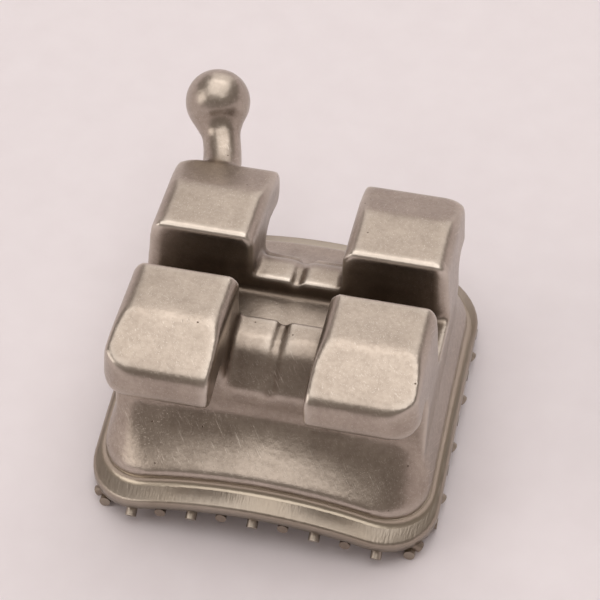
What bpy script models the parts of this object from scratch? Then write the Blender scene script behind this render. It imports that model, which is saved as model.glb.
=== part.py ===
"""Twin orthodontic bracket for an upper right second premolar, with a ball hook.

The bracket is a one-piece moulded steel body, brazed to a bonding pad of thin foil and woven wire mesh.

Axes: +Z leaves the tooth (facial), +Y points to the gum (gingival), +X to the midline (mesial).
The origin is the middle of the pad's tooth side. The archwire slot runs along X, and the body is
turned about X by the torque angle, so the slot has a frame of its own, whose origin is the middle
of the slot floor.
"""

import math

import bmesh
import bpy
from mathutils import Matrix, Vector

MM = 0.001

# Archwire slot: 0.022 by 0.028 inch.
SLOT_WIDTH = 0.559 * MM
SLOT_DEPTH = 0.711 * MM
SLOT_EDGE_RADIUS = 0.06 * MM
SLOT_FLARE_LENGTH = 0.14 * MM
SLOT_FLARE = 0.06 * MM
SLOT_FLOOR_HEIGHT = 1.02 * MM
TORQUE = math.radians(-7.0)

# Wings, seen from the front.
BODY_WIDTH = 3.20 * MM
BODY_SIDE_DRAFT = 0.07 * MM
BODY_CORNER_RADIUS = 0.42 * MM
BODY_EDGE_RADIUS = 0.16 * MM
WING_SPAN = 3.34 * MM

# Tie wings, seen along the slot.
WING_SLOPE_LENGTH = 0.69 * MM
WING_TIP_DROP = 0.20 * MM
WING_TIP_THICKNESS = 0.46 * MM
WING_ROOT_THICKNESS = 0.47 * MM
WING_CROWN_RADIUS = 0.50 * MM
WING_NOSE_RADIUS = 0.20 * MM
WING_LIP_RADIUS = 0.15 * MM
UNDERCUT_DEPTH = 0.69 * MM
UNDERCUT_RADIUS = 0.17 * MM

# Neck under the wings, and the skirt that spreads from it to the pad.
NECK_LENGTH = WING_SPAN - 2 * UNDERCUT_DEPTH
SKIRT_SIDE_SPREAD = 0.10 * MM
SKIRT_END_SPREAD = 0.64 * MM
SKIRT_WIDTH = BODY_WIDTH + 2 * SKIRT_SIDE_SPREAD
SKIRT_LENGTH = NECK_LENGTH + 2 * SKIRT_END_SPREAD
SKIRT_CORNER_RADIUS = 0.54 * MM
SKIRT_EDGE = 0.13 * MM
SKIRT_TOP_DEPTH = 0.14 * MM
SKIRT_OVERLAP = 0.04 * MM
SKIRT_STEPS = 10

# Channel between the mesial and the distal wings, and the scribed line along its floor. Heights are
# from the slot floor.
CHANNEL_WIDTH = 0.92 * MM
CHANNEL_FLARE = 0.09 * MM
CHANNEL_FLOOR = 0.20 * MM
CHANNEL_END_DEPTH = 0.26 * MM
CHANNEL_END_STEP = 0.05 * MM
CHANNEL_SLOPE_LENGTH = 0.38 * MM
CHANNEL_RUN_OUT = 0.20 * MM
CHANNEL_SHOULDER_RADIUS = 0.30 * MM
CHANNEL_TOE_RADIUS = 0.14 * MM
SCRIBE_WIDTH = 0.11 * MM
SCRIBE_DEPTH = 0.05 * MM

# Ball hook on the distogingival wing. It starts narrow inside the wing, widens and comes out of the tip.
HOOK_SEAT = 0.25 * MM
HOOK_SEAT_DIAMETER = 0.16 * MM
HOOK_ROOT_DIAMETER = 0.45 * MM
HOOK_NECK_DIAMETER = 0.42 * MM
HOOK_BALL_DIAMETER = 0.72 * MM
HOOK_REACH = 0.78 * MM
HOOK_RISE = 0.36 * MM
HOOK_LEAN = 0.22 * MM
HOOK_INSET = 0.48 * MM
HOOK_SIDES = 22
HOOK_STEPS = 12
BALL_STEPS = 11

# Bonding pad, which stands out round the skirt.
PAD_SIDE_RIM = 0.11 * MM
PAD_END_RIM = 0.24 * MM
PAD_WIDTH = SKIRT_WIDTH + 2 * PAD_SIDE_RIM
PAD_LENGTH = SKIRT_LENGTH + 2 * PAD_END_RIM
PAD_CORNER_RADIUS = SKIRT_CORNER_RADIUS + PAD_SIDE_RIM
PAD_RADIUS_ACROSS = 4.40 * MM
PAD_RADIUS_ALONG = 9.00 * MM
FOIL_THICKNESS = 0.12 * MM
BRAZE_GAP = 0.01 * MM
MESH_PITCH = 0.318 * MM
WIRE_DIAMETER = 0.115 * MM
WIRE_BOND = 0.014 * MM
WIRE_SIDES = 6
PAD_CELLS = 12

# How finely rounds and long sides are divided, and how far cutters run past what they cut.
ARC_STEP = math.radians(7.6)
SIDE_PARTS = 8
MARGIN = 0.50 * MM


def wire_half_height():
    """Half the height of a wire whose many-sided section lies on a flat."""
    return WIRE_DIAMETER / 2 * math.cos(math.pi / WIRE_SIDES)


def wire_wave():
    """How far a wire's middle rises and falls as it passes over and under the others."""
    return wire_half_height() - WIRE_BOND / 2


MESH_THICKNESS = 2 * (wire_half_height() + wire_wave())
FOIL_BOTTOM = MESH_THICKNESS + BRAZE_GAP
FOIL_TOP = FOIL_BOTTOM + FOIL_THICKNESS
BODY_BOTTOM = FOIL_TOP + BRAZE_GAP


def clear_scene():
    """Removes what the scene holds."""
    for old in list(bpy.data.objects):
        bpy.data.objects.remove(old)


def stainless(name, colour, roughness):
    """A steel finish: colour is linear red, green and blue."""
    material = bpy.data.materials.new(name)
    material.use_nodes = True
    shader = material.node_tree.nodes["Principled BSDF"]
    shader.inputs["Base Color"].default_value = (*colour, 1.0)
    shader.inputs["Metallic"].default_value = 1.0
    shader.inputs["Roughness"].default_value = roughness
    return material


def rounded(corners):
    """Turns corners (u, v, radius) into the points of a closed outline with a round at each corner.

    A round is never wider than half of the shorter side that it joins.
    """
    points = []
    for index, (u, v, radius) in enumerate(corners):
        corner = Vector((u, v))
        before = Vector(corners[index - 1][:2]) - corner
        after = Vector(corners[(index + 1) % len(corners)][:2]) - corner
        half_angle = before.angle(after) / 2
        trim = min(radius / math.tan(half_angle), before.length / 2, after.length / 2)
        if trim <= 0:
            points.append(corner)
            continue
        round_radius = trim * math.tan(half_angle)
        middle = (before.normalized() + after.normalized()).normalized()
        centre = corner + middle * (round_radius / math.sin(half_angle))
        first = corner + before.normalized() * trim - centre
        turn = first.angle_signed(corner + after.normalized() * trim - centre)
        steps = max(1, math.ceil(abs(turn) / ARC_STEP))
        for step in range(steps + 1):
            points.append(centre + Matrix.Rotation(-turn * step / steps, 2) @ first)
    return points


def new_object(name, mesh_builder, parent=None):
    """Makes an object from a finished bmesh, with its faces turned outwards."""
    bmesh.ops.recalc_face_normals(mesh_builder, faces=mesh_builder.faces)
    mesh = bpy.data.meshes.new(name)
    mesh_builder.to_mesh(mesh)
    mesh_builder.free()
    made = bpy.data.objects.new(name, mesh)
    bpy.context.scene.collection.objects.link(made)
    made.parent = parent
    return made


def prism(name, outline, axis, low, high, parent=None):
    """A closed solid: a plane outline carried along one axis from low to high.

    The outline's points are (y, z) along X, (x, z) along Y and (x, y) along Z.
    """
    place = {
        "X": lambda u, v, t: (t, u, v),
        "Y": lambda u, v, t: (u, t, v),
        "Z": lambda u, v, t: (u, v, t),
    }[axis]
    builder = bmesh.new()
    near = [builder.verts.new(place(u, v, low)) for u, v in outline]
    far = [builder.verts.new(place(u, v, high)) for u, v in outline]
    builder.faces.new(near)
    builder.faces.new(far)
    for index, corner in enumerate(near):
        builder.faces.new((near[index - 1], corner, far[index], far[index - 1]))
    return new_object(name, builder, parent)


def combine(target, other, operation):
    """Adds an exact Boolean to the target. The other object is a helper, left out of renders."""
    other.hide_render = True
    other.display_type = "WIRE"
    boolean = target.modifiers.new(other.name, "BOOLEAN")
    boolean.operation = operation
    boolean.solver = "EXACT"
    boolean.object = other


def mirrored(half):
    """Both halves of an outline that is alike on each side of its second axis."""
    return half + [(-u, v, radius) for u, v, radius in reversed(half)]


def sweep(builder, centres, radii, sides, reference):
    """Adds a closed round bar along a line of centres, with the radius given at each one."""
    rings = []
    for index, (centre, radius) in enumerate(zip(centres, radii)):
        ahead = centres[min(index + 1, len(centres) - 1)]
        behind = centres[max(index - 1, 0)]
        along = (ahead - behind).normalized()
        side = along.cross(reference).normalized()
        up = side.cross(along)
        ring = []
        for step in range(sides):
            angle = math.tau * step / sides
            place = centre + radius * (math.cos(angle) * side + math.sin(angle) * up)
            ring.append(builder.verts.new(place))
        rings.append(ring)
    for near, far in zip(rings, rings[1:]):
        for step in range(sides):
            after = (step + 1) % sides
            builder.faces.new((near[step], near[after], far[after], far[step]))
    builder.faces.new(rings[0])
    builder.faces.new(rings[-1])


def side_outline():
    """The wings and neck seen along the slot, with the slot and the undercuts."""
    slot = SLOT_WIDTH / 2
    tip = WING_SPAN / 2
    tip_top = SLOT_DEPTH - WING_TIP_DROP
    neck = NECK_LENGTH / 2
    half = [
        (slot, 0.0, 0.0),
        (slot, SLOT_DEPTH, SLOT_EDGE_RADIUS),
        (tip - WING_SLOPE_LENGTH, SLOT_DEPTH, WING_CROWN_RADIUS),
        (tip, tip_top, WING_NOSE_RADIUS),
        (tip, tip_top - WING_TIP_THICKNESS, WING_LIP_RADIUS),
        (neck, SLOT_DEPTH - WING_ROOT_THICKNESS, UNDERCUT_RADIUS),
        (neck, -SLOT_FLOOR_HEIGHT, 0.0),
    ]
    return rounded(mirrored(half))


def end_outline():
    """The wings seen along the tooth: drafted sides, full width at the slot floor, round at the top."""
    top = BODY_WIDTH / 2 - BODY_SIDE_DRAFT
    foot = BODY_WIDTH / 2 + BODY_SIDE_DRAFT * SLOT_FLOOR_HEIGHT / SLOT_DEPTH
    half = [
        (top, SLOT_DEPTH, BODY_EDGE_RADIUS),
        (foot, -SLOT_FLOOR_HEIGHT, 0.0),
    ]
    return rounded(mirrored(half))


def rectangle(width, length, radius):
    """A rectangle about the origin with round corners."""
    half = [(width / 2, length / 2, radius), (width / 2, -length / 2, radius)]
    return rounded(mirrored(half))


def divided(outline):
    """The outline with each side cut into the same even parts, so that it can follow a curve."""
    points = []
    for index, point in enumerate(outline):
        before = outline[index - 1]
        parts = SIDE_PARTS if (point - before).length > SKIRT_CORNER_RADIUS else 1
        points += [before.lerp(point, part / parts) for part in range(1, parts + 1)]
    return points


def channel_floor_outline(sink):
    """The channel seen along the slot: a flat floor that falls to the skirt at both ends."""
    end = NECK_LENGTH / 2 + CHANNEL_END_STEP
    flat = end - CHANNEL_SLOPE_LENGTH
    floor = CHANNEL_FLOOR - sink
    end_floor = -CHANNEL_END_DEPTH - sink
    out = WING_SPAN / 2 + MARGIN
    half = [
        (flat, floor, CHANNEL_SHOULDER_RADIUS),
        (end, end_floor, CHANNEL_TOE_RADIUS),
        (out, end_floor - CHANNEL_RUN_OUT, 0.0),
        (out, SLOT_DEPTH + MARGIN, 0.0),
    ]
    return rounded(mirrored(half))


def channel_cutter(slot_frame):
    """What the channel takes out of the body: flared walls above a floor that falls at its ends."""
    reach = WING_SPAN / 2 + MARGIN
    wall = CHANNEL_WIDTH / 2
    half = [
        (wall, -SLOT_FLOOR_HEIGHT, 0.0),
        (wall, SLOT_DEPTH - CHANNEL_FLARE, CHANNEL_FLARE),
        (wall + CHANNEL_FLARE + MARGIN, SLOT_DEPTH + MARGIN, 0.0),
    ]
    outline = rounded(mirrored(half))
    cutter = prism("channel_walls", outline, "Y", -reach, reach, slot_frame)
    floor_outline = channel_floor_outline(0.0)
    side = BODY_WIDTH / 2
    floor = prism("channel_floor", floor_outline, "X", -side, side, slot_frame)
    combine(cutter, floor, "INTERSECT")
    return cutter


def slot_flare_cutter(side, slot_frame):
    """Widens the slot's mouth at one end, so that a wire threads in: side is 1 or -1."""
    end = BODY_WIDTH / 2
    slope = SLOT_FLARE / SLOT_FLARE_LENGTH
    inner = SLOT_WIDTH / 2
    outer = inner + slope * (SLOT_FLARE_LENGTH + MARGIN)
    low, high = side * (end - SLOT_FLARE_LENGTH), side * (end + MARGIN)
    outline = [(low, -inner), (high, -outer), (high, outer), (low, inner)]
    name = "slot_flare_mesial" if side > 0 else "slot_flare_distal"
    return prism(name, outline, "Z", 0.0, SLOT_DEPTH + MARGIN, slot_frame)


def hook_line():
    """Centres and radii of the hook, from its root in the wing to the far side of the ball."""
    root_y = WING_SPAN / 2 - WING_NOSE_RADIUS
    root_z = SLOT_DEPTH - WING_TIP_DROP - WING_TIP_THICKNESS / 2
    tip_y = WING_SPAN / 2 + HOOK_REACH
    wing_x = -(BODY_WIDTH / 2 - HOOK_INSET)
    bend = [
        Vector((wing_x, root_y, root_z)),
        Vector((wing_x, (root_y + tip_y) / 2, root_z)),
        Vector((wing_x - HOOK_LEAN / 2, (root_y + 2 * tip_y) / 3, root_z + HOOK_RISE / 4)),
        Vector((wing_x - HOOK_LEAN, tip_y, root_z + HOOK_RISE)),
    ]

    def on_bend(t):
        """The point at t, from 0 to 1, of the cubic curve through the bend's ends."""
        weights = ((1 - t) ** 3, 3 * t * (1 - t) ** 2, 3 * t * t * (1 - t), t**3)
        return sum((weight * point for weight, point in zip(weights, bend)), Vector())

    ball = HOOK_BALL_DIAMETER / 2
    neck = HOOK_NECK_DIAMETER / 2
    root = HOOK_ROOT_DIAMETER / 2
    direction = (bend[3] - bend[2]).normalized()
    last_t = 1 - ball / (bend[3] - bend[0]).length
    centres = [bend[0] - Vector((0.0, HOOK_SEAT, 0.0))]
    radii = [HOOK_SEAT_DIAMETER / 2]
    for step in range(HOOK_STEPS):
        t = last_t * step / (HOOK_STEPS - 1)
        centres.append(on_bend(t))
        radii.append(neck + (root - neck) * (1 - t / last_t) ** 2)
    first_angle = math.asin(neck / ball)
    for step in range(1, BALL_STEPS):
        angle = first_angle + (math.pi - first_angle) * step / BALL_STEPS
        centres.append(bend[3] - direction * (ball * math.cos(angle)))
        radii.append(ball * math.sin(angle))
    return centres, radii


def build_hook(slot_frame):
    """The ball hook, as one bar to be joined to the body."""
    centres, radii = hook_line()
    builder = bmesh.new()
    sweep(builder, centres, radii, HOOK_SIDES, Vector((1.0, 0.0, 0.0)))
    return new_object("hook", builder, slot_frame)


def pad_curve(x, y):
    """How far the pad's surface lies below its middle: it follows the tooth's two curvatures."""
    across = math.sqrt(PAD_RADIUS_ACROSS**2 - x * x) - PAD_RADIUS_ACROSS
    along = math.sqrt(PAD_RADIUS_ALONG**2 - y * y) - PAD_RADIUS_ALONG
    return across + along


def curved_slab(name, low, high):
    """A sheet larger than the pad, between two heights over the pad's curve."""
    builder = bmesh.new()
    width, length = PAD_WIDTH + MARGIN, PAD_LENGTH + MARGIN
    layers = []
    for height in (low, high):
        rows = []
        for row in range(PAD_CELLS + 1):
            y = length * (row / PAD_CELLS - 0.5)
            xs = [width * (column / PAD_CELLS - 0.5) for column in range(PAD_CELLS + 1)]
            rows.append([builder.verts.new((x, y, pad_curve(x, y) + height)) for x in xs])
        layers.append(rows)
    for rows in layers:
        for near, far in zip(rows, rows[1:]):
            for column in range(PAD_CELLS):
                quad = near[column], near[column + 1], far[column + 1], far[column]
                builder.faces.new(quad)
    bottom, top = layers
    rims = [
        (bottom[0], top[0]),
        (bottom[-1], top[-1]),
        ([row[0] for row in bottom], [row[0] for row in top]),
        ([row[-1] for row in bottom], [row[-1] for row in top]),
    ]
    for lower, upper in rims:
        for column in range(PAD_CELLS):
            quad = lower[column], lower[column + 1], upper[column + 1], upper[column]
            builder.faces.new(quad)
    return new_object(name, builder)


def pad_outline(name):
    """A tall block with the pad's outline, which trims the foil and the mesh alike."""
    outline = rectangle(PAD_WIDTH, PAD_LENGTH, PAD_CORNER_RADIUS)
    return prism(name, outline, "Z", -SLOT_FLOOR_HEIGHT - MARGIN, SLOT_FLOOR_HEIGHT)


def wires(name, along_x):
    """One set of the weave's wires, which all run along X or all along Y."""
    run, spread = (PAD_WIDTH, PAD_LENGTH) if along_x else (PAD_LENGTH, PAD_WIDTH)
    count = 2 * math.floor((spread - WIRE_DIAMETER) / 2 / MESH_PITCH) + 1
    reach = math.ceil(run / 2 / MESH_PITCH) + 1
    builder = bmesh.new()
    for wire in range(-(count // 2), count // 2 + 1):
        centres = []
        for step in range(-2 * reach, 2 * reach + 1):
            place = (step / 2 * MESH_PITCH, wire * MESH_PITCH)
            x, y = place if along_x else reversed(place)
            crest = math.cos(math.pi * (step / 2 + wire)) * (1 if along_x else -1)
            z = pad_curve(x, y) + MESH_THICKNESS / 2 + wire_wave() * crest
            centres.append(Vector((x, y, z)))
        radii = [WIRE_DIAMETER / 2] * len(centres)
        sweep(builder, centres, radii, WIRE_SIDES, Vector((0.0, 0.0, 1.0)))
    bmesh.ops.triangulate(builder, faces=builder.faces)
    return new_object(name, builder)


def skirt():
    """The base of the body: an edge that follows the pad's curve, then a hollow slope up to the neck."""
    builder = bmesh.new()
    rise = SLOT_FLOOR_HEIGHT - SKIRT_TOP_DEPTH - BODY_BOTTOM - SKIRT_EDGE
    side_inset = (SKIRT_WIDTH - BODY_WIDTH) / 2 + SKIRT_OVERLAP
    end_inset = (SKIRT_LENGTH - NECK_LENGTH) / 2 + SKIRT_OVERLAP
    sections = [(0.0, BODY_BOTTOM - MARGIN)]
    for step in range(SKIRT_STEPS + 1):
        angle = math.pi / 2 * step / SKIRT_STEPS
        height = BODY_BOTTOM + SKIRT_EDGE + rise * (1 - math.cos(angle))
        sections.append((math.sin(angle), height))
    rings = []
    for inset, height in sections:
        outline = rectangle(
            SKIRT_WIDTH - 2 * side_inset * inset,
            SKIRT_LENGTH - 2 * end_inset * inset,
            SKIRT_CORNER_RADIUS * (1 - inset) + BODY_EDGE_RADIUS * inset,
        )
        ring = []
        for x, y in divided(outline):
            ring.append(builder.verts.new((x, y, height + pad_curve(x, y) * (1 - inset))))
        rings.append(ring)
    for near, far in zip(rings, rings[1:]):
        for index, corner in enumerate(near):
            builder.faces.new((near[index - 1], corner, far[index], far[index - 1]))
    builder.faces.new(rings[0])
    builder.faces.new(rings[-1])
    bmesh.ops.triangulate(builder, faces=builder.faces)
    return new_object("skirt", builder)


def build_body(slot_frame):
    """The moulded body: wings and neck from three crossed outlines, set on a skirt, then cut."""
    side = BODY_WIDTH / 2 + MARGIN
    reach = WING_SPAN / 2 + MARGIN
    depth = SLOT_FLOOR_HEIGHT + MARGIN
    body = prism("bracket_body", side_outline(), "X", -side, side, slot_frame)
    ends = prism("body_ends", end_outline(), "Y", -reach, reach, slot_frame)
    front_outline = rectangle(BODY_WIDTH, WING_SPAN, BODY_CORNER_RADIUS)
    front = prism("body_front", front_outline, "Z", -depth, depth, slot_frame)
    combine(body, ends, "INTERSECT")
    combine(body, front, "INTERSECT")
    combine(body, channel_cutter(slot_frame), "DIFFERENCE")
    combine(body, skirt(), "UNION")
    scribe = prism(
        "scribe_line",
        channel_floor_outline(SCRIBE_DEPTH),
        "X",
        -SCRIBE_WIDTH / 2,
        SCRIBE_WIDTH / 2,
        slot_frame,
    )
    combine(body, scribe, "DIFFERENCE")
    for end in (1, -1):
        combine(body, slot_flare_cutter(end, slot_frame), "DIFFERENCE")
    below = BODY_BOTTOM - SLOT_FLOOR_HEIGHT - MARGIN
    combine(body, curved_slab("pad_seat", below, BODY_BOTTOM), "DIFFERENCE")
    combine(body, build_hook(slot_frame), "UNION")
    body.data.materials.append(stainless("moulded_steel", (0.42, 0.39, 0.36), 0.3))
    return body


def build_foil():
    """The foil that the body is brazed to."""
    foil = curved_slab("pad_foil", FOIL_BOTTOM, FOIL_TOP)
    combine(foil, pad_outline("foil_outline"), "INTERSECT")
    foil.data.materials.append(stainless("rolled_foil", (0.36, 0.34, 0.31), 0.35))
    return foil


def build_mesh():
    """The woven wire cloth on the foil's tooth side, fused where its wires cross."""
    cloth = wires("pad_mesh", along_x=True)
    combine(cloth, wires("cross_wires", along_x=False), "UNION")
    combine(cloth, pad_outline("mesh_outline"), "INTERSECT")
    cloth.data.materials.append(stainless("woven_wire", (0.30, 0.28, 0.25), 0.45))
    return cloth


def main():
    """Builds the bracket."""
    clear_scene()
    slot_frame = bpy.data.objects.new("slot_frame", None)
    bpy.context.scene.collection.objects.link(slot_frame)
    slot_frame.location = (0.0, 0.0, SLOT_FLOOR_HEIGHT)
    slot_frame.rotation_euler = (TORQUE, 0.0, 0.0)
    build_body(slot_frame)
    build_foil()
    build_mesh()


main()
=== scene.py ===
"""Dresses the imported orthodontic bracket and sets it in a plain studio.

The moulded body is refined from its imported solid, the foil is drawn again on a fine grid, and the wire
cloth is woven from round wires by Geometry Nodes. Every piece is built in millimetres and ends in
metres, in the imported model's frame: +Z leaves the tooth, +Y points to the gum, +X to the midline.
"""

import logging
import math
from collections.abc import Iterator
from dataclasses import dataclass
from enum import Enum

import bmesh
import bpy
import numpy
from mathutils import Matrix, Vector
from mathutils.bvhtree import BVHTree


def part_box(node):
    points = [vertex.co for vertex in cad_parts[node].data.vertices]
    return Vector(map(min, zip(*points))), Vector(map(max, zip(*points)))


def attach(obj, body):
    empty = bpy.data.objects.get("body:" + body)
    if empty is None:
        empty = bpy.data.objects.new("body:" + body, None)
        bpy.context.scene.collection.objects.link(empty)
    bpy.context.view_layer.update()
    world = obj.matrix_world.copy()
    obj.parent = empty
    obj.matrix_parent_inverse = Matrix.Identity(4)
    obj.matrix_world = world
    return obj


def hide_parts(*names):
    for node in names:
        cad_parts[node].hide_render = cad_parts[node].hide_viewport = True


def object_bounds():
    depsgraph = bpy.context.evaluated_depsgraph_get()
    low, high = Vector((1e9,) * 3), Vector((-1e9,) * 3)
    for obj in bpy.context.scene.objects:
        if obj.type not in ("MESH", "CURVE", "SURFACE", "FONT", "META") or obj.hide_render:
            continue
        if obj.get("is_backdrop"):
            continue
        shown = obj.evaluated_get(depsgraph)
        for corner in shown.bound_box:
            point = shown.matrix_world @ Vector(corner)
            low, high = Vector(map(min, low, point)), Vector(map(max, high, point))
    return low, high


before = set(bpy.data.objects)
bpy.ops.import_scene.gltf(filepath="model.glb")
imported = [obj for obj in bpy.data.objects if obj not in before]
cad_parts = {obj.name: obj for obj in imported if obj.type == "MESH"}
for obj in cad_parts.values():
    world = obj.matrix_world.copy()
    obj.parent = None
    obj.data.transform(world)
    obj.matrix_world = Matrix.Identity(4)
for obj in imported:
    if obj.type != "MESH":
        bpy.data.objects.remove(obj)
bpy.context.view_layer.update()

MM = 0.001
BODY = "root"
PAD_CORNER_MM = 0.65
SIDE_RIM_MM = 0.11
END_RIM_MM = 0.24
FOIL_MM = 0.12
SHARP_DEGREES = 50
NOISE_LOW, NOISE_HIGH = 0.3, 0.7
LOG = logging.getLogger("bracket")

Profile = list[tuple[float, float]]


class CadNode(Enum):
    """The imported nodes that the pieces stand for."""

    BODY = "bracket_body"
    FOIL = "pad_foil"
    CLOTH = "pad_mesh"


class Finish(Enum):
    """The record's material slots."""

    MOULDED = "moulded_steel"
    ROLLED = "rolled_foil"
    WOVEN = "woven_wire"


def linear(colour: str) -> tuple[float, float, float, float]:
    """Turns an sRGB hex colour into linear light.

    Args:
        colour: The colour as written on a screen, such as "#C0B8AE".

    Returns:
        Linear red, green and blue, with an alpha of 1.
    """
    channels = [int(colour[start:start + 2], 16) / 255 for start in (1, 3, 5)]
    red, green, blue = (c / 12.92 if c <= 0.04045 else ((c + 0.055) / 1.055) ** 2.4 for c in channels)
    return red, green, blue, 1.0


def per_mm(size: float) -> float:
    """The texture scale, on Object coordinates in metres, of a pattern that repeats at a size in mm."""
    return 1 / (size * MM)


def add_node(
    tree: bpy.types.NodeTree,
    kind: str,
    inputs: dict[int | str, object] | None = None,
    **settings: object,
) -> bpy.types.Node:
    """Adds a node to a tree.

    Args:
        tree: The shader or geometry tree.
        kind: The node's type.
        inputs: What each input takes, by its name or number: another node's socket or a value.
        **settings: The node's own settings.

    Returns:
        The new node.
    """
    node = tree.nodes.new(kind)
    for name, value in settings.items():
        setattr(node, name, value)
    for name, value in (inputs or {}).items():
        if isinstance(value, bpy.types.NodeSocket):
            tree.links.new(value, node.inputs[name])
        else:
            node.inputs[name].default_value = value
    return node


def new_material(name: str) -> tuple[bpy.types.Material, bpy.types.NodeTree, bpy.types.Node]:
    """Makes a material with a Principled shader.

    Args:
        name: What the real material is.

    Returns:
        The material, its node tree and its shader node.
    """
    material = bpy.data.materials.new(name)
    material.use_nodes = True
    tree = material.node_tree
    return material, tree, tree.nodes["Principled BSDF"]


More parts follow.
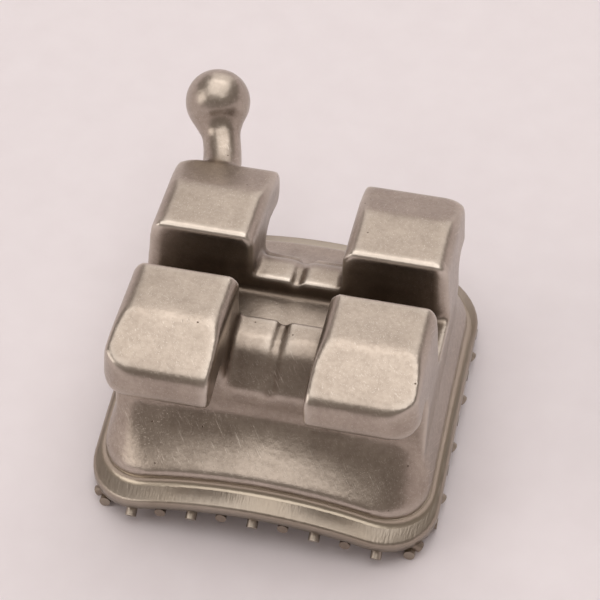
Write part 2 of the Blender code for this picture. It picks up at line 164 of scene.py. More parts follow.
@dataclass(frozen=True)
class MouldedSteel:
    """Injection-moulded 17-4 stainless steel, sintered and then tumbled bright.

    Sintering leaves a fine orange peel and a few pores. Tumbling polishes the edges and the wing tops,
    scores them with short hair lines that run any way, and leaves the corners that its media can't reach
    duller. Those corners, and the places that the body itself hides from view, are also painted darker:
    that is painted shade. The real hair lines are some 0.004 mm wide, and are drawn three times as coarse.
    """

    face: str = "#AFA397"
    edge: str = "#CFC6BB"
    # painted shade in concave corners and hidden places; also the dark tone of stains, flecks and pores
    dark_tone_and_painted_shade: str = "#524438"
    roughness: float = 0.30
    roughness_spread: float = 0.02
    edge_roughness: float = 0.28
    recess_roughness: float = 0.46
    grain_mm: float = 0.045
    peel_mm: float = 0.30
    pore_cell_mm: float = 0.12
    pore_size: tuple[float, float] = (0.04, 0.10)
    pore_share: float = 0.25
    line_mm: float = 0.012
    line_length_mm: float = 0.40
    line_turns: tuple[tuple[float, float, float], ...] = ((0.5, 0.4, 0.9), (-0.7, 0.5, -0.6))
    line_cut: tuple[float, float] = (0.64, 0.76)
    line_brightness: float = 0.5
    edge_wear: tuple[float, float] = (0.10, 0.80)
    # concave corners take painted shade and grow duller
    dull_corner_and_painted_shade: tuple[float, float] = (-0.08, -0.70)
    # places that the body hides from view take painted shade and grow duller
    deep_shelter: tuple[float, float] = (0.22, 0.85)
    stain_range: tuple[float, float] = (0.35, 0.75)
    stain_share: float = 0.22
    fleck_range: tuple[float, float] = (0.40, 0.70)
    fleck_share: float = 0.16
    grain_height_mm: float = 0.0020
    peel_height_mm: float = 0.0060
    pore_depth_mm: float = 0.0030
    line_depth_mm: float = 0.0008
    wear_attribute: str = "wear"
    shelter_attribute: str = "shelter"

    def material(self) -> bpy.types.Material:
        """Builds the material."""
        material, tree, shader = new_material("sintered stainless steel")
        place = add_node(tree, "ShaderNodeTexCoord").outputs["Object"]
        grain = add_node(
            tree,
            "ShaderNodeTexNoise",
            {"Vector": place, "Scale": per_mm(self.grain_mm), "Detail": 3.0},
        ).outputs["Fac"]
        peel = add_node(
            tree,
            "ShaderNodeTexNoise",
            {"Vector": place, "Scale": per_mm(self.peel_mm), "Detail": 2.0},
        ).outputs["Fac"]
        cells = add_node(
            tree,
            "ShaderNodeTexVoronoi",
            {"Vector": place, "Scale": per_mm(self.pore_cell_mm)},
        )
        inner, outer = self.pore_size
        hollow = add_node(
            tree,
            "ShaderNodeMapRange",
            {"Value": cells.outputs["Distance"], "From Min": outer, "From Max": inner},
        ).outputs["Result"]
        chosen = add_node(
            tree,
            "ShaderNodeMath",
            {0: cells.outputs["Color"], 1: self.pore_share},
            operation="LESS_THAN",
        ).outputs[0]
        pore = add_node(
            tree,
            "ShaderNodeMath",
            {0: hollow, 1: chosen},
            operation="MULTIPLY",
        ).outputs[0]
        scored = 0.0
        for turn in self.line_turns:
            stretched = add_node(
                tree,
                "ShaderNodeMapping",
                {
                    "Vector": place,
                    "Rotation": turn,
                    "Scale": (1.0, self.line_length_mm / self.line_mm, 1.0),
                },
                vector_type="TEXTURE",
            ).outputs["Vector"]
            lines = add_node(
                tree,
                "ShaderNodeTexNoise",
                {"Vector": stretched, "Scale": per_mm(self.line_mm), "Detail": 1.0},
            ).outputs["Fac"]
            line = add_node(
                tree,
                "ShaderNodeMapRange",
                {"Value": lines, "From Min": self.line_cut[0], "From Max": self.line_cut[1]},
            ).outputs["Result"]
            scored = add_node(tree, "ShaderNodeMath", {0: scored, 1: line}, operation="MAXIMUM").outputs[0]
        wear = add_node(tree, "ShaderNodeAttribute", attribute_name=self.wear_attribute).outputs["Fac"]
        edge = add_node(
            tree,
            "ShaderNodeMapRange",
            {"Value": wear, "From Min": self.edge_wear[0], "From Max": self.edge_wear[1]},
        ).outputs["Result"]
        # painted shade: the dark colour goes into concave corners
        corner = add_node(
            tree,
            "ShaderNodeMapRange",
            {"Value": wear, "From Min": self.dull_corner_and_painted_shade[0], "From Max": self.dull_corner_and_painted_shade[1]},
        ).outputs["Result"]
        shelter = add_node(tree, "ShaderNodeAttribute", attribute_name=self.shelter_attribute).outputs["Fac"]
        # painted shade: the dark colour goes where the body hides the view
        hidden = add_node(
            tree,
            "ShaderNodeMapRange",
            {"Value": shelter, "From Min": self.deep_shelter[0], "From Max": self.deep_shelter[1]},
        ).outputs["Result"]
        dark_tone_and_painted_shade = add_node(tree, "ShaderNodeMath", {0: corner, 1: hidden}, operation="MAXIMUM").outputs[0]
        stain = add_node(
            tree,
            "ShaderNodeMapRange",
            {
                "Value": peel,
                "From Min": self.stain_range[0],
                "From Max": self.stain_range[1],
                "To Max": self.stain_share,
            },
        ).outputs["Result"]
        fleck = add_node(
            tree,
            "ShaderNodeMapRange",
            {
                "Value": grain,
                "From Min": self.fleck_range[0],
                "From Max": self.fleck_range[1],
                "To Max": self.fleck_share,
            },
        ).outputs["Result"]
        bright = add_node(
            tree,
            "ShaderNodeMath",
            {0: scored, 1: self.line_brightness},
            operation="MULTIPLY",
        ).outputs[0]
        colour = linear(self.face)
        for share, tint in (
            (stain, self.dark_tone_and_painted_shade),
            (fleck, self.dark_tone_and_painted_shade),
            (bright, self.edge),
            (edge, self.edge),
            # painted shade in corners and hidden places
            (dark_tone_and_painted_shade, self.dark_tone_and_painted_shade),
            (pore, self.dark_tone_and_painted_shade),
        ):
            colour = add_node(
                tree,
                "ShaderNodeMix",
                {"Factor": share, 6: colour, 7: linear(tint)},
                data_type="RGBA",
            ).outputs[2]
        rough = add_node(
            tree,
            "ShaderNodeMapRange",
            {
                "Value": grain,
                "From Min": NOISE_LOW,
                "From Max": NOISE_HIGH,
                "To Min": self.roughness - self.roughness_spread,
                "To Max": self.roughness + self.roughness_spread,
            },
        ).outputs["Result"]
        for share, value in ((edge, self.edge_roughness), (dark_tone_and_painted_shade, self.recess_roughness)):
            rough = add_node(tree, "ShaderNodeMix", {0: share, 2: rough, 3: value}).outputs[0]
        normal = add_node(tree, "ShaderNodeNewGeometry").outputs["Normal"]
        for height, size, sunk in (
            (peel, self.peel_height_mm, False),
            (grain, self.grain_height_mm, False),
            (scored, self.line_depth_mm, True),
            (pore, self.pore_depth_mm, True),
        ):
            normal = add_node(
                tree,
                "ShaderNodeBump",
                {"Height": height, "Distance": size * MM, "Normal": normal},
                invert=sunk,
            ).outputs["Normal"]
        tree.links.new(colour, shader.inputs["Base Color"])
        tree.links.new(rough, shader.inputs["Roughness"])
        tree.links.new(normal, shader.inputs["Normal"])
        shader.inputs["Metallic"].default_value = 1.0
        return material


@dataclass(frozen=True)
class RolledFoil:
    """304 stainless foil, cold rolled and stamped out with the cloth brazed on.

    Rolling leaves long fine lines one way. The brazing oven leaves a faint brown bloom in patches.
    """

    face: str = "#A99F93"
    bloom: str = "#8A7C6A"
    roughness: float = 0.34
    roughness_spread: float = 0.05
    line_mm: float = 0.020
    line_length_mm: float = 1.6
    bloom_mm: float = 0.8
    bloom_range: tuple[float, float] = (0.4, 0.75)
    bloom_share: tuple[float, float] = (0.05, 0.6)
    line_height_mm: float = 0.0026

    def material(self) -> bpy.types.Material:
        """Builds the material."""
        material, tree, shader = new_material("rolled stainless foil")
        place = add_node(tree, "ShaderNodeTexCoord").outputs["Object"]
        stretched = add_node(
            tree,
            "ShaderNodeMapping",
            {"Vector": place, "Scale": (1.0, self.line_mm / self.line_length_mm, 1.0)},
        ).outputs["Vector"]
        lines = add_node(
            tree,
            "ShaderNodeTexNoise",
            {"Vector": stretched, "Scale": per_mm(self.line_mm), "Detail": 2.0},
        ).outputs["Fac"]
        patches = add_node(
            tree,
            "ShaderNodeTexNoise",
            {"Vector": place, "Scale": per_mm(self.bloom_mm), "Detail": 3.0},
        ).outputs["Fac"]
        share = add_node(
            tree,
            "ShaderNodeMapRange",
            {
                "Value": patches,
                "From Min": self.bloom_range[0],
                "From Max": self.bloom_range[1],
                "To Min": self.bloom_share[0],
                "To Max": self.bloom_share[1],
            },
        ).outputs["Result"]
        colour = add_node(
            tree,
            "ShaderNodeMix",
            {"Factor": share, 6: linear(self.face), 7: linear(self.bloom)},
            data_type="RGBA",
        ).outputs[2]
        rough = add_node(
            tree,
            "ShaderNodeMapRange",
            {
                "Value": lines,
                "From Min": NOISE_LOW,
                "From Max": NOISE_HIGH,
                "To Min": self.roughness - self.roughness_spread,
                "To Max": self.roughness + self.roughness_spread,
            },
        ).outputs["Result"]
        normal = add_node(
            tree,
            "ShaderNodeBump",
            {"Height": lines, "Distance": self.line_height_mm * MM},
        ).outputs["Normal"]
        tree.links.new(colour, shader.inputs["Base Color"])
        tree.links.new(rough, shader.inputs["Roughness"])
        tree.links.new(normal, shader.inputs["Normal"])
        shader.inputs["Metallic"].default_value = 1.0
        return material


@dataclass(frozen=True)
class DrawnWire:
    """304 stainless wire, drawn, woven and etched for bonding.

    The etch leaves the wires matt and brownish. The colour is lighter on the crests that stand out from the
    foil and darker where the wires dip against it.
    """

    face: str = "#8C8074"
    crest: str = "#B0A699"
    roughness: float = 0.42
    roughness_spread: float = 0.08
    pit_mm: float = 0.022
    pit_height_mm: float = 0.0016
    crest_attribute: str = "crest"

    def material(self) -> bpy.types.Material:
        """Builds the material."""
        material, tree, shader = new_material("etched stainless wire")
        place = add_node(tree, "ShaderNodeTexCoord").outputs["Object"]
        pits = add_node(
            tree,
            "ShaderNodeTexNoise",
            {"Vector": place, "Scale": per_mm(self.pit_mm), "Detail": 2.0},
        ).outputs["Fac"]
        crest = add_node(
            tree,
            "ShaderNodeAttribute",
            attribute_name=self.crest_attribute,
        ).outputs["Fac"]
        colour = add_node(
            tree,
            "ShaderNodeMix",
            {"Factor": crest, 6: linear(self.face), 7: linear(self.crest)},
            data_type="RGBA",
        ).outputs[2]
        rough = add_node(
            tree,
            "ShaderNodeMapRange",
            {
                "Value": pits,
                "From Min": NOISE_LOW,
                "From Max": NOISE_HIGH,
                "To Min": self.roughness - self.roughness_spread,
                "To Max": self.roughness + self.roughness_spread,
            },
        ).outputs["Result"]
        normal = add_node(
            tree,
            "ShaderNodeBump",
            {"Height": pits, "Distance": self.pit_height_mm * MM},
        ).outputs["Normal"]
        tree.links.new(colour, shader.inputs["Base Color"])
        tree.links.new(rough, shader.inputs["Roughness"])
        tree.links.new(normal, shader.inputs["Normal"])
        shader.inputs["Metallic"].default_value = 1.0
        return material


@dataclass(frozen=True)
class BrazeAlloy:
    """Nickel braze that has flowed out of the joint and set smooth, a little yellower than the steel."""

    face: str = "#B2A797"
    roughness: float = 0.28
    ripple_mm: float = 0.12
    ripple_height_mm: float = 0.003

    def material(self) -> bpy.types.Material:
        """Builds the material."""
        material, tree, shader = new_material("nickel braze")
        place = add_node(tree, "ShaderNodeTexCoord").outputs["Object"]
        ripple = add_node(
            tree,
            "ShaderNodeTexNoise",
            {"Vector": place, "Scale": per_mm(self.ripple_mm), "Detail": 2.0},
        ).outputs["Fac"]
        normal = add_node(
            tree,
            "ShaderNodeBump",
            {"Height": ripple, "Distance": self.ripple_height_mm * MM},
        ).outputs["Normal"]
        tree.links.new(normal, shader.inputs["Normal"])
        shader.inputs["Base Color"].default_value = linear(self.face)
        shader.inputs["Roughness"].default_value = self.roughness
        shader.inputs["Metallic"].default_value = 1.0
        return material


@dataclass(frozen=True)
class MattPaper:
    """Uncoated card on the table: pale, matt, with a faint fibre."""

    face: str = "#ECE6E9"
    fibre: str = "#E6DFE2"
    fibre_mm: float = 0.35
    roughness: float = 0.9

    def material(self) -> bpy.types.Material:
        """Builds the material."""
        material, tree, shader = new_material("matt card")
        place = add_node(tree, "ShaderNodeTexCoord").outputs["Object"]
        fibres = add_node(
            tree,
            "ShaderNodeTexNoise",
            {"Vector": place, "Scale": per_mm(self.fibre_mm), "Detail": 3.0},
        ).outputs["Fac"]
        colour = add_node(
            tree,
            "ShaderNodeMix",
            {"Factor": fibres, 6: linear(self.face), 7: linear(self.fibre)},
            data_type="RGBA",
        ).outputs[2]
        tree.links.new(colour, shader.inputs["Base Color"])
        shader.inputs["Roughness"].default_value = self.roughness
        return material


@dataclass(frozen=True)
class ToothCurve:
    """The pad's two curvatures, in mm: it follows the face of the tooth."""

    radius_across: float = 4.40
    radius_along: float = 9.00

    def height(self, x: float, y: float) -> float:
        """How far the pad's surface lies below its middle, in mm, at a place in mm."""
        across = math.sqrt(self.radius_across**2 - x * x) - self.radius_across
        along = math.sqrt(self.radius_along**2 - y * y) - self.radius_along
        return across + along


@dataclass(frozen=True)
class RoundedRectangle:
    """An outline about the origin, in mm."""

    width: float
    length: float
    radius: float
    side_parts: int = 14
    corner_parts: int = 10
    least_radius: float = 0.02

    def points(self) -> Profile:
        """The outline's points, anticlockwise, close enough together to follow the tooth's curve."""
        x_in, y_in = self.width / 2 - self.radius, self.length / 2 - self.radius
        corners = ((x_in, y_in, 0), (-x_in, y_in, 90), (-x_in, -y_in, 180), (x_in, -y_in, 270))
        rounds = []
        for x, y, start in corners:
            angles = [
                math.radians(start + 90 * part / self.corner_parts)
                for part in range(self.corner_parts + 1)
            ]
            rounds.append([(x + self.radius * math.cos(a), y + self.radius * math.sin(a)) for a in angles])
        outline = []
        for index, arc in enumerate(rounds):
            outline += arc
            start, end = Vector(arc[-1]), Vector(rounds[(index + 1) % len(rounds)][0])
            outline += [tuple(start.lerp(end, part / self.side_parts)) for part in range(1, self.side_parts)]
        return outline

    def inset(self, depth: float) -> "RoundedRectangle":
        """The outline moved inwards by a depth, or outwards by a negative one."""
        return RoundedRectangle(
            self.width - 2 * depth,
            self.length - 2 * depth,
            max(self.radius - depth, self.least_radius),
            self.side_parts,
            self.corner_parts,
        )


def spread_directions(count: int) -> Iterator[Vector]:
    """Gives unit vectors spread evenly all round, along a spiral from pole to pole."""
    for index in range(count):
        height = 1 - (2 * index + 1) / count
        turn = index * math.pi * (3 - math.sqrt(5))
        reach = math.sqrt(1 - height * height)
        yield Vector((reach * math.cos(turn), reach * math.sin(turn), height))


def bare_object(name: str, mesh: bpy.types.Mesh) -> bpy.types.Object:
    """Links a new object that holds a mesh."""
    made = bpy.data.objects.new(name, mesh)
    bpy.context.scene.collection.objects.link(made)
    return made


def evaluated_mesh(piece: bpy.types.Object) -> bpy.types.Mesh:
    """Gives an object's mesh as its modifiers leave it, and takes the modifiers off.

    Args:
        piece: An object with modifiers.

    Returns:
        A plain mesh, which the object doesn't use yet.
    """
    bpy.context.view_layer.update()
    ready = piece.evaluated_get(bpy.context.evaluated_depsgraph_get())
    mesh = bpy.data.meshes.new_from_object(ready)
    piece.modifiers.clear()
    return mesh


def mesh_from(name: str, builder: bmesh.types.BMesh) -> bpy.types.Mesh:
    """Turns a bmesh in mm into a mesh with its faces pointing out."""
    bmesh.ops.recalc_face_normals(builder, faces=builder.faces)
    mesh = bpy.data.meshes.new(name)
    builder.to_mesh(mesh)
    builder.free()
    return mesh


def seat(piece: bpy.types.Object, node: CadNode | None) -> bpy.types.Object:
    """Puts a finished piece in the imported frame.

    Args:
        piece: The piece, with its mesh in metres.
        node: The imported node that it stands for, if it stands for one.

    Returns:
        The piece.
    """
    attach(piece, BODY)
    if node:
        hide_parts(node.value)
    return piece


@dataclass
class MouldedBody:
    """Wings, slot, neck, skirt and hook in one, with the edges that tumbling has rounded.

    Sizes are in mm. The slot lies along X at its own height and is turned about X by the torque. The
    tumbling media can't get into it, so its edges stay crisper than the rest.
    """

    finish: MouldedSteel
    name: str = "moulded_body"
    weld: float = 0.0001
    voxel: float = 0.025
    smoothing: float = 0.5
    first_steps: int = 9
    later_steps: int = 19
    slot_floor: float = 1.02
    slot_torque: float = -7.0
    slot_guard: tuple[float, float] = (0.33, 0.46)
    wear_steps: int = 47
    full_wear: float = 0.03
    shelter_reach: float = 1.2
    shelter_rays: int = 34
    shelter_blur: int = 6
    grazing: float = 0.1

    def build(self) -> bpy.types.Object:
        """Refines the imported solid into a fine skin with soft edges, and marks its wear and shelter.

        The skin is laid with the solid turned upright in the slot, so that the slot's edges and the
        wings' follow the grid and stay straight.
        """
        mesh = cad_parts[CadNode.BODY.value].data.copy()
        mesh.materials.clear()
        mesh.transform(self.into_slot() @ Matrix.Scale(1 / MM, 4))
        builder = bmesh.new()
        builder.from_mesh(mesh)
        bmesh.ops.remove_doubles(builder, verts=builder.verts, dist=self.weld)
        builder.to_mesh(mesh)
        builder.free()
        piece = bare_object(self.name, mesh)
        skin = piece.modifiers.new("skin", "REMESH")
        skin.mode = "VOXEL"
        skin.voxel_size = self.voxel
        piece.data = evaluated_mesh(piece)
        piece.data.transform(self.into_slot().inverted())
        piece.data = self.tumbled(piece, self.first_steps)
        reached = self.mark_reached(piece)
        piece.data = self.tumbled(piece, self.later_steps, reached)
        piece.vertex_groups.clear()
        self.mark_wear(piece)
        self.mark_shelter(piece)
        piece.data.transform(Matrix.Scale(MM, 4))
        piece.data.shade_smooth()
        piece.data.materials.append(self.finish.material())
        return seat(piece, CadNode.BODY)

    def into_slot(self) -> Matrix:
        """The turn about X that takes the slot's torque off, so that the slot opens along Z."""
        return Matrix.Rotation(-math.radians(self.slot_torque), 4, "X")

    def tumbled(self, piece: bpy.types.Object, steps: int, reached: str = "") -> bpy.types.Mesh:
        """Smooths a copy of a piece's mesh.

        Args:
            piece: The piece, in mm.
            steps: How many times each point moves towards its neighbours.
            reached: The vertex group that says how much of each move a point makes, if not all.

        Returns:
            The smoothed copy, point for point.
        """
        tumbling = piece.modifiers.new("tumbling", "SMOOTH")
        tumbling.factor = self.smoothing
        tumbling.iterations = steps
        tumbling.vertex_group = reached
        return evaluated_mesh(piece)

    def mark_reached(self, piece: bpy.types.Object) -> str:
        """Weighs each point by how well the tumbling media reach it, and names the vertex group."""
        group = piece.vertex_groups.new(name="reached")
        turn = self.into_slot()
        slot_origin = Vector((0.0, 0.0, self.slot_floor))
        near, far = self.slot_guard
        for point in piece.data.vertices:
            place = turn @ (point.co - slot_origin)
            beside = (abs(place.y) - near) / (far - near)
            below = (-place.z - near / 2) / (far - near)
            group.add([point.index], max(0.0, min(1.0, max(beside, below))), "REPLACE")
        return group.name

    def mark_wear(self, piece: bpy.types.Object) -> None:
        """Stores how far more tumbling would still move each point.

        It runs from -1 in a deep corner, where painted shade goes, to 1 on a sharp edge, which loses metal.
        """
        now, later = piece.data, self.tumbled(piece, self.wear_steps)
        wear = now.attributes.new(self.finish.wear_attribute, "FLOAT", "POINT")
        for point, moved, mark in zip(now.vertices, later.vertices, wear.data):
            inwards = (point.co - moved.co).dot(point.normal)
            mark.value = max(-1.0, min(1.0, inwards / self.full_wear))
        bpy.data.meshes.remove(later)

    def mark_shelter(self, piece: bpy.types.Object) -> None:
        """Stores how much of its view the body itself hides from each point, from 0 in the open to 1."""
        # the material paints shade from this mark: the dark colour goes where it is high
        mesh = piece.data
        tree = BVHTree.FromPolygons(
            [point.co for point in mesh.vertices],
            [face.vertices for face in mesh.polygons],
        )
        rays = list(spread_directions(self.shelter_rays))
        shelter = numpy.zeros(len(mesh.vertices))
        for point in mesh.vertices:
            start = point.co + point.normal * self.voxel
            seen = [(ray, ray.dot(point.normal)) for ray in rays]
            seen = [(ray, share) for ray, share in seen if share > self.grazing]
            hidden = sum(share for ray, share in seen if tree.ray_cast(start, ray, self.shelter_reach)[0])
            shelter[point.index] = hidden / sum(share for ray, share in seen)
        ends = numpy.array([edge.vertices[:] for edge in mesh.edges]).T
        count = len(mesh.vertices)
        neighbours = numpy.bincount(ends.ravel(), minlength=count)
        for _ in range(self.shelter_blur):
            around = sum(
                numpy.bincount(one, weights=shelter[other], minlength=count)
                for one, other in (ends, ends[::-1])
            )
            shelter = (shelter + around / neighbours) / 2
        mark = mesh.attributes.new(self.finish.shelter_attribute, "FLOAT", "POINT")
        mark.data.foreach_set("value", shelter)


@dataclass
class PadFoil:
    """The foil that carries the body, with its sheared edge. Sizes are in mm."""

    curve: ToothCurve
    outline: RoundedRectangle
    bottom: float
    thickness: float
    name: str = "stamped_foil"
    rings: int = 18
    roll: float = 0.035
    burr: float = 0.010
    roll_parts: int = 4

    def edge_profile(self) -> Profile:
        """Depth in from the outline and height from the bottom, from the rolled edge to the burr."""
        angles = [math.pi / 2 * part / self.roll_parts for part in range(self.roll_parts + 1)]
        rolled = [
            (self.roll * (1 - math.sin(a)), self.thickness - self.roll * (1 - math.cos(a)))
            for a in angles
        ]
        return rolled + [(0.0, self.burr), (self.burr, 0.0)]

    def build(self) -> bpy.types.Object:
        """Draws the foil as rings from its middle out, over the edge and back to its middle."""
        builder = bmesh.new()
        loops = []
        top_edge, *_, bottom_edge = self.edge_profile()
        for share in [ring / self.rings for ring in range(1, self.rings)]:
            loops.append(self.ring(builder, top_edge, share))
        for step in self.edge_profile():
            loops.append(self.ring(builder, step, 1.0))
        for share in [ring / self.rings for ring in range(self.rings - 1, 0, -1)]:
            loops.append(self.ring(builder, bottom_edge, share))
        for near, far in zip(loops, loops[1:]):
            for index in range(len(near)):
                builder.faces.new((near[index - 1], near[index], far[index], far[index - 1]))
        for loop, height in ((loops[0], self.thickness), (loops[-1], 0.0)):
            middle = builder.verts.new((0.0, 0.0, self.bottom + height))
            for index in range(len(loop)):
                builder.faces.new((loop[index - 1], loop[index], middle))
        mesh = mesh_from(self.name, builder)
        mesh.transform(Matrix.Scale(MM, 4))
        mesh.shade_smooth()
        mesh.materials.append(RolledFoil().material())
        return seat(bare_object(self.name, mesh), CadNode.FOIL)

    def ring(
        self,
        builder: bmesh.types.BMesh,
        step: tuple[float, float],
        share: float,
    ) -> list[bmesh.types.BMVert]:
        """Adds one ring of points on the tooth's curve.

        Args:
            builder: What takes the points.
            step: Depth in from the outline, and height from the foil's bottom.
            share: How far out from the middle the ring lies, up to 1 at the outline.

        Returns:
            The ring's points in order.
        """
        depth, height = step
        ring = []
        for x, y in self.outline.inset(depth).points():
            at_x, at_y = x * share, y * share
            ring.append(builder.verts.new((at_x, at_y, self.curve.height(at_x, at_y) + self.bottom + height)))
        return ring


@dataclass
class BrazeFillet:
    """The braze that has run out all round the foot of the body. Sizes are in mm."""

    curve: ToothCurve
    foot: RoundedRectangle
    foil_top: float
    name: str = "braze_fillet"
    spread: float = 0.060
    rise: float = 0.050
    parts: int = 6
    root: float = 0.030
    sink: float = 0.006

    def section(self) -> Profile:
        """Distance out from the foot and height over the foil: a hollow bead with its back in the joint."""
        bead = []
        for part in range(self.parts + 1):
            angle = math.pi / 2 * part / self.parts
            bead.append((self.spread * (1 - math.sin(angle)), self.rise * (1 - math.cos(angle))))
        return bead + [(-self.root, self.rise), (-self.root, -self.sink), (self.spread, -self.sink)]

    def build(self) -> bpy.types.Object:
        """Carries the section round the foot."""
        builder = bmesh.new()
        loops = []
        for out, height in self.section():
            points = self.foot.inset(-out).points()
            loops.append(
                [
                    builder.verts.new((x, y, self.curve.height(x, y) + self.foil_top + height))
                    for x, y in points
                ]
            )
        for near, far in zip(loops, loops[1:] + loops[:1]):
            for index in range(len(near)):
                builder.faces.new((near[index - 1], near[index], far[index], far[index - 1]))
        mesh = mesh_from(self.name, builder)
        mesh.transform(Matrix.Scale(MM, 4))
        mesh.shade_smooth()
        mesh.set_sharp_from_angle(angle=math.radians(SHARP_DEGREES))
        mesh.materials.append(BrazeAlloy().material())
        return seat(bare_object(self.name, mesh), None)


@dataclass
class WireCloth:
    """Plain-woven wire cloth on the foil's tooth side, cut off at the pad's outline. Sizes are in mm."""

    curve: ToothCurve
    outline: RoundedRectangle
    foil_bottom: float
    name: str = "woven_cloth"
    pitch: float = 0.318
    wire: float = 0.115
    wave: float = 0.0455
    sink: float = 0.004
    points_per_pitch: int = 8
    wire_sides: int = 12

    def wire_count(self, spread: float) -> int:
        """How many wires fit side by side in a spread, with one of them in its middle."""
        return 2 * math.floor((spread - self.wire) / 2 / self.pitch) + 1

    def wire_set(self) -> bpy.types.NodeTree:
        """Builds the group that lays one set of wires, all along X.

        Each wire starts as a line from -1 to 1 at its own Y. The formula stretches it to the outline's
        width there, lays it on the tooth's curve and lifts it over and under the wires that it meets.

        Returns:
            The group, with a named input for each size.
        """
        tree = bpy.data.node_groups.new("wire set", "GeometryNodeTree")
        for size in (
            "Pitch", "Wire", "Wave", "Run", "Spread",
            "Corner", "Radius Along", "Radius Across", "Middle", "Crest",
        ):
            tree.interface.new_socket(name=size, in_out="INPUT", socket_type="NodeSocketFloat")
        for count in ("Wires", "Points", "Sides"):
            tree.interface.new_socket(name=count, in_out="INPUT", socket_type="NodeSocketInt")
        tree.interface.new_socket(name="Cloth", in_out="OUTPUT", socket_type="NodeSocketGeometry")
        known = {socket.name: socket for socket in add_node(tree, "NodeGroupInput").outputs if socket.name}
        place = add_node(tree, "GeometryNodeInputPosition").outputs[0]
        parts = add_node(tree, "ShaderNodeSeparateXYZ", {0: place})
        known.update({"t": parts.outputs[0], "y": parts.outputs[1]})
        formula = (
            ("last", "SUBTRACT", "Wires", 1.0),
            ("cloth", "MULTIPLY", "last", "Pitch"),
            ("start", "MULTIPLY", "cloth", -0.5),
            ("half run", "MULTIPLY", "Run", 0.5),
            ("half spread", "MULTIPLY", "Spread", 0.5),
            ("straight", "SUBTRACT", "half spread", "Corner"),
            ("off", "ABSOLUTE", "y"),
            ("past", "SUBTRACT", "off", "straight"),
            ("into corner", "MAXIMUM", "past", 0.0),
            ("into squared", "MULTIPLY", "into corner", "into corner"),
            ("corner squared", "MULTIPLY", "Corner", "Corner"),
            ("left squared", "SUBTRACT", "corner squared", "into squared"),
            ("left", "SQRT", "left squared"),
            ("core", "SUBTRACT", "half run", "Corner"),
            ("reach", "ADD", "core", "left"),
            ("x", "MULTIPLY", "t", "reach"),
            ("x squared", "MULTIPLY", "x", "x"),
            ("y squared", "MULTIPLY", "y", "y"),
            ("along squared", "MULTIPLY", "Radius Along", "Radius Along"),
            ("across squared", "MULTIPLY", "Radius Across", "Radius Across"),
            ("along left", "SUBTRACT", "along squared", "x squared"),
            ("across left", "SUBTRACT", "across squared", "y squared"),
            ("along height", "SQRT", "along left"),
            ("across height", "SQRT", "across left"),
            ("along drop", "SUBTRACT", "along height", "Radius Along"),
            ("across drop", "SUBTRACT", "across height", "Radius Across"),
            ("drop", "ADD", "along drop", "across drop"),
            ("crossings", "ADD", "x", "y"),
            ("turns", "DIVIDE", "crossings", "Pitch"),
            ("angle", "MULTIPLY", "turns", math.pi),
            ("swing", "COSINE", "angle"),
            ("crest", "MULTIPLY", "swing", "Crest"),
            ("lift", "MULTIPLY", "crest", "Wave"),
            ("cloth height", "ADD", "drop", "Middle"),
            ("z", "ADD", "cloth height", "lift"),
            ("low crest", "MULTIPLY_ADD", "crest", -0.5, 0.5),
            ("wire radius", "MULTIPLY", "Wire", 0.5),
        )
        for result, operation, *values in formula:
            inputs = {slot: known.get(value, value) for slot, value in enumerate(values)}
            known[result] = add_node(tree, "ShaderNodeMath", inputs, operation=operation).outputs[0]
        first = add_node(tree, "ShaderNodeCombineXYZ", {1: known["start"]}).outputs[0]
        step = add_node(tree, "ShaderNodeCombineXYZ", {1: known["Pitch"]}).outputs[0]
        rows = add_node(
            tree,
            "GeometryNodeMeshLine",
            {"Count": known["Wires"], "Start Location": first, "Offset": step},
        ).outputs[0]
        line = add_node(
            tree,
            "GeometryNodeCurvePrimitiveLine",
            {"Start": (-1.0, 0.0, 0.0), "End": (1.0, 0.0, 0.0)},
        )
        fine = add_node(
            tree,
            "GeometryNodeResampleCurve",
            {"Curve": line.outputs[0], "Count": known["Points"]},
        ).outputs[0]
        laid = add_node(tree, "GeometryNodeInstanceOnPoints", {"Points": rows, "Instance": fine}).outputs[0]
        lines = add_node(tree, "GeometryNodeRealizeInstances", {0: laid}).outputs[0]
        marked = add_node(
            tree,
            "GeometryNodeStoreNamedAttribute",
            {"Geometry": lines, "Name": DrawnWire().crest_attribute, "Value": known["low crest"]},
        ).outputs[0]
        bent_place = add_node(
            tree,
            "ShaderNodeCombineXYZ",
            {0: known["x"], 1: known["y"], 2: known["z"]},
        ).outputs[0]
        bent = add_node(
            tree,
            "GeometryNodeSetPosition",
            {"Geometry": marked, "Position": bent_place},
        ).outputs[0]
        profile = add_node(
            tree,
            "GeometryNodeCurvePrimitiveCircle",
            {"Resolution": known["Sides"], "Radius": known["wire radius"]},
        ).outputs[0]
        tube = add_node(
            tree,
            "GeometryNodeCurveToMesh",
            {"Curve": bent, "Profile Curve": profile, "Fill Caps": True},
        ).outputs[0]
        add_node(tree, "NodeGroupOutput", {0: tube})
        return tree

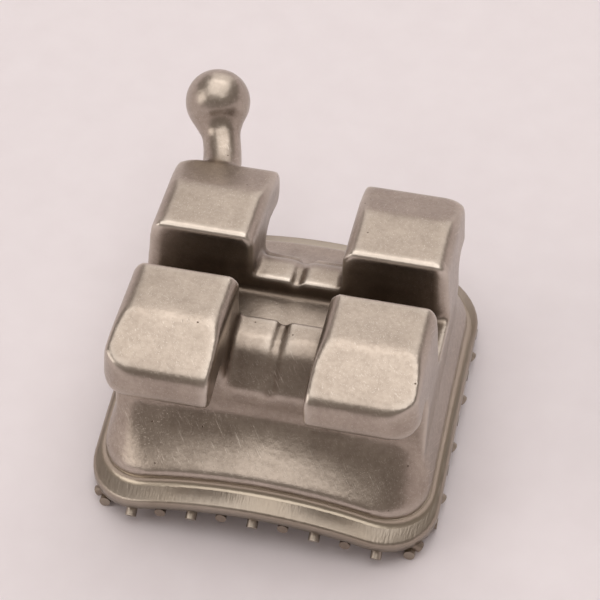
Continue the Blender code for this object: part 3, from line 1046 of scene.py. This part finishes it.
    def cloth_tree(self, wire_set: bpy.types.NodeTree) -> bpy.types.NodeTree:
        """Builds the tree that crosses two sets of wires, brings them to metres and gives them a material.

        Args:
            wire_set: The group that lays one set.

        Returns:
            The tree, with a named input for each size.
        """
        tree = bpy.data.node_groups.new("wire cloth", "GeometryNodeTree")
        for size in (
            "Pitch", "Wire", "Wave", "Width", "Length",
            "Corner", "Radius Across", "Radius Along", "Middle",
        ):
            tree.interface.new_socket(name=size, in_out="INPUT", socket_type="NodeSocketFloat")
        for count in ("Wires Across", "Wires Along", "Points Across", "Points Along", "Sides"):
            tree.interface.new_socket(name=count, in_out="INPUT", socket_type="NodeSocketInt")
        tree.interface.new_socket(name="Material", in_out="INPUT", socket_type="NodeSocketMaterial")
        tree.interface.new_socket(name="Cloth", in_out="OUTPUT", socket_type="NodeSocketGeometry")
        known = {socket.name: socket for socket in add_node(tree, "NodeGroupInput").outputs if socket.name}
        shared = {name: known[name] for name in ("Pitch", "Wire", "Wave", "Corner", "Middle", "Sides")}
        across = {
            "Run": known["Width"],
            "Spread": known["Length"],
            "Radius Along": known["Radius Across"],
            "Radius Across": known["Radius Along"],
            "Wires": known["Wires Across"],
            "Points": known["Points Across"],
            "Crest": 1.0,
        }
        along = {
            "Run": known["Length"],
            "Spread": known["Width"],
            "Radius Along": known["Radius Along"],
            "Radius Across": known["Radius Across"],
            "Wires": known["Wires Along"],
            "Points": known["Points Along"],
            "Crest": -1.0,
        }
        weft = add_node(tree, "GeometryNodeGroup", node_tree=wire_set)
        warp = add_node(tree, "GeometryNodeGroup", node_tree=wire_set)
        for wires, sizes in ((weft, across), (warp, along)):
            for name, value in {**shared, **sizes}.items():
                if isinstance(value, bpy.types.NodeSocket):
                    tree.links.new(value, wires.inputs[name])
                else:
                    wires.inputs[name].default_value = value
        turned = add_node(
            tree,
            "GeometryNodeTransform",
            {"Geometry": warp.outputs[0], "Rotation": (0.0, 0.0, math.pi / 2)},
        ).outputs[0]
        both = add_node(tree, "GeometryNodeJoinGeometry", {0: weft.outputs[0]})
        tree.links.new(turned, both.inputs[0])
        in_metres = add_node(
            tree,
            "GeometryNodeTransform",
            {"Geometry": both.outputs[0], "Scale": (MM, MM, MM)},
        ).outputs[0]
        real = add_node(tree, "GeometryNodeRealizeInstances", {0: in_metres}).outputs[0]
        dressed = add_node(
            tree,
            "GeometryNodeSetMaterial",
            {"Geometry": real, "Material": known["Material"]},
        ).outputs[0]
        add_node(tree, "NodeGroupOutput", {0: dressed})
        return tree

    def build(self) -> bpy.types.Object:
        """Weaves the cloth with Geometry Nodes and keeps the result as a plain mesh."""
        tree = self.cloth_tree(self.wire_set())
        cloth_height = self.wire + 2 * self.wave
        width, length = self.outline.width, self.outline.length
        sizes = {
            "Pitch": self.pitch,
            "Wire": self.wire,
            "Wave": self.wave,
            "Width": width,
            "Length": length,
            "Corner": self.outline.radius,
            "Radius Across": self.curve.radius_across,
            "Radius Along": self.curve.radius_along,
            "Middle": self.foil_bottom + self.sink - cloth_height / 2,
            "Wires Across": self.wire_count(length),
            "Wires Along": self.wire_count(width),
            "Points Across": round(width / self.pitch * self.points_per_pitch),
            "Points Along": round(length / self.pitch * self.points_per_pitch),
            "Sides": self.wire_sides,
            "Material": DrawnWire().material(),
        }
        piece = bare_object(self.name, bpy.data.meshes.new(self.name))
        weaving = piece.modifiers.new("weaving", "NODES")
        weaving.node_group = tree
        for socket in tree.interface.items_tree:
            if socket.in_out == "INPUT":
                weaving[socket.identifier] = sizes[socket.name]
        piece.data = evaluated_mesh(piece)
        piece.data.shade_smooth()
        piece.data.set_sharp_from_angle(angle=math.radians(SHARP_DEGREES))
        return seat(piece, CadNode.CLOTH)


@dataclass(frozen=True)
class Lamp:
    """A square soft lamp that points at the bracket. Sizes are in mm, and its place is from the bracket."""

    name: str
    place: tuple[float, float, float]
    side: float
    watts: float
    colour: str


@dataclass
class Studio:
    """A pale card that curves up all round, soft lamps over it, and the camera. Sizes are in mm."""

    floor_height: float
    target: Vector
    lamps: tuple[Lamp, ...] = (
        Lamp("overhead lamp", (0.0, 20.0, 150.0), side=190.0, watts=0.160, colour="#FFFCFA"),
        Lamp("side lamp", (-130.0, -50.0, 80.0), side=90.0, watts=0.044, colour="#FFFAF6"),
        Lamp("far lamp", (0.0, 150.0, 120.0), side=170.0, watts=0.090, colour="#FFFCFA"),
    )
    floor_radius: float = 70.0
    floor_rings: int = 6
    wall_radius: float = 40.0
    wall_turn: float = 80.0
    wall_rings: int = 12
    sides: int = 96
    azimuth: float = 12.0
    elevation: float = 50.0
    distance: float = 23.5
    lens: float = 135.0
    nearest: float = 0.5
    farthest: float = 1000.0
    world: str = "#A0968F"
    world_strength: float = 0.85

    def build_card(self) -> bpy.types.Object:
        """Turns the card: a flat disc that bends up at its rim."""
        profile = [
            (self.floor_radius * ring / self.floor_rings, 0.0)
            for ring in range(1, self.floor_rings + 1)
        ]
        for part in range(1, self.wall_rings + 1):
            angle = math.radians(self.wall_turn * part / self.wall_rings)
            profile.append(
                (
                    self.floor_radius + self.wall_radius * math.sin(angle),
                    self.wall_radius * (1 - math.cos(angle)),
                )
            )
        builder = bmesh.new()
        loops = []
        for radius, height in profile:
            angles = [math.tau * side / self.sides for side in range(self.sides)]
            level = self.floor_height + height
            loops.append(
                [builder.verts.new((radius * math.cos(a), radius * math.sin(a), level)) for a in angles]
            )
        for near, far in zip(loops, loops[1:]):
            for index in range(self.sides):
                builder.faces.new((near[index - 1], near[index], far[index], far[index - 1]))
        builder.faces.new(loops[0])
        mesh = mesh_from("card", builder)
        mesh.transform(Matrix.Scale(MM, 4))
        mesh.shade_smooth()
        mesh.materials.append(MattPaper().material())
        card = bare_object("card", mesh)
        card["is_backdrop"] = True
        return card

    def add_lamp(self, lamp: Lamp) -> None:
        """Hangs a lamp, out of the camera's sight."""
        data = bpy.data.lights.new(lamp.name, "AREA")
        data.size = lamp.side * MM
        data.energy = lamp.watts
        data.color = linear(lamp.colour)[:3]
        hung = bpy.data.objects.new(lamp.name, data)
        offset = Vector(lamp.place) * MM
        hung.location = self.target * MM + offset
        hung.rotation_euler = (-offset).to_track_quat("-Z", "Y").to_euler()
        hung.visible_camera = False
        bpy.context.scene.collection.objects.link(hung)

    def add_camera(self) -> None:
        """Sets the camera at the photograph's look down on the bracket."""
        azimuth, elevation = math.radians(self.azimuth), math.radians(self.elevation)
        back = Vector(
            (
                math.sin(azimuth) * math.cos(elevation),
                -math.cos(azimuth) * math.cos(elevation),
                math.sin(elevation),
            )
        )
        data = bpy.data.cameras.new("camera")
        data.lens = self.lens
        data.clip_start = self.nearest * MM
        data.clip_end = self.farthest * MM
        camera = bpy.data.objects.new("camera", data)
        camera.location = (self.target + back * self.distance) * MM
        camera.rotation_euler = (-back).to_track_quat("-Z", "Y").to_euler()
        bpy.context.scene.collection.objects.link(camera)
        bpy.context.scene.camera = camera

    def build(self) -> None:
        """Builds the card, the lamps, the world and the camera."""
        self.build_card()
        for lamp in self.lamps:
            self.add_lamp(lamp)
        world = bpy.data.worlds.new("room")
        world.use_nodes = True
        shade = world.node_tree.nodes["Background"]
        shade.inputs["Color"].default_value = linear(self.world)
        shade.inputs["Strength"].default_value = self.world_strength
        bpy.context.scene.world = world
        bpy.context.scene.view_settings.view_transform = "Standard"
        self.add_camera()


def main() -> None:
    logging.basicConfig(level=logging.INFO, format="%(message)s")
    foil_low, foil_high = (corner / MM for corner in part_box(CadNode.FOIL.value))
    curve = ToothCurve()
    outline = RoundedRectangle(foil_high.x - foil_low.x, foil_high.y - foil_low.y, PAD_CORNER_MM)
    foot = RoundedRectangle(
        outline.width - 2 * SIDE_RIM_MM,
        outline.length - 2 * END_RIM_MM,
        PAD_CORNER_MM - SIDE_RIM_MM,
    )
    foil_top = foil_high.z
    foil_bottom = foil_top - FOIL_MM
    pieces = [
        MouldedBody(MouldedSteel()).build(),
        PadFoil(curve, outline, foil_bottom, FOIL_MM).build(),
        BrazeFillet(curve, foot, foil_top).build(),
        WireCloth(curve, outline, foil_bottom).build(),
    ]
    for piece in pieces:
        faces = sum(len(polygon.vertices) - 2 for polygon in piece.data.polygons)
        LOG.info("%s: %d triangles", piece.name, faces)
    low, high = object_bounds()
    middle = (low + high) / 2 / MM
    Studio(low.z / MM, middle).build()


if __name__ == "__main__":
    main()
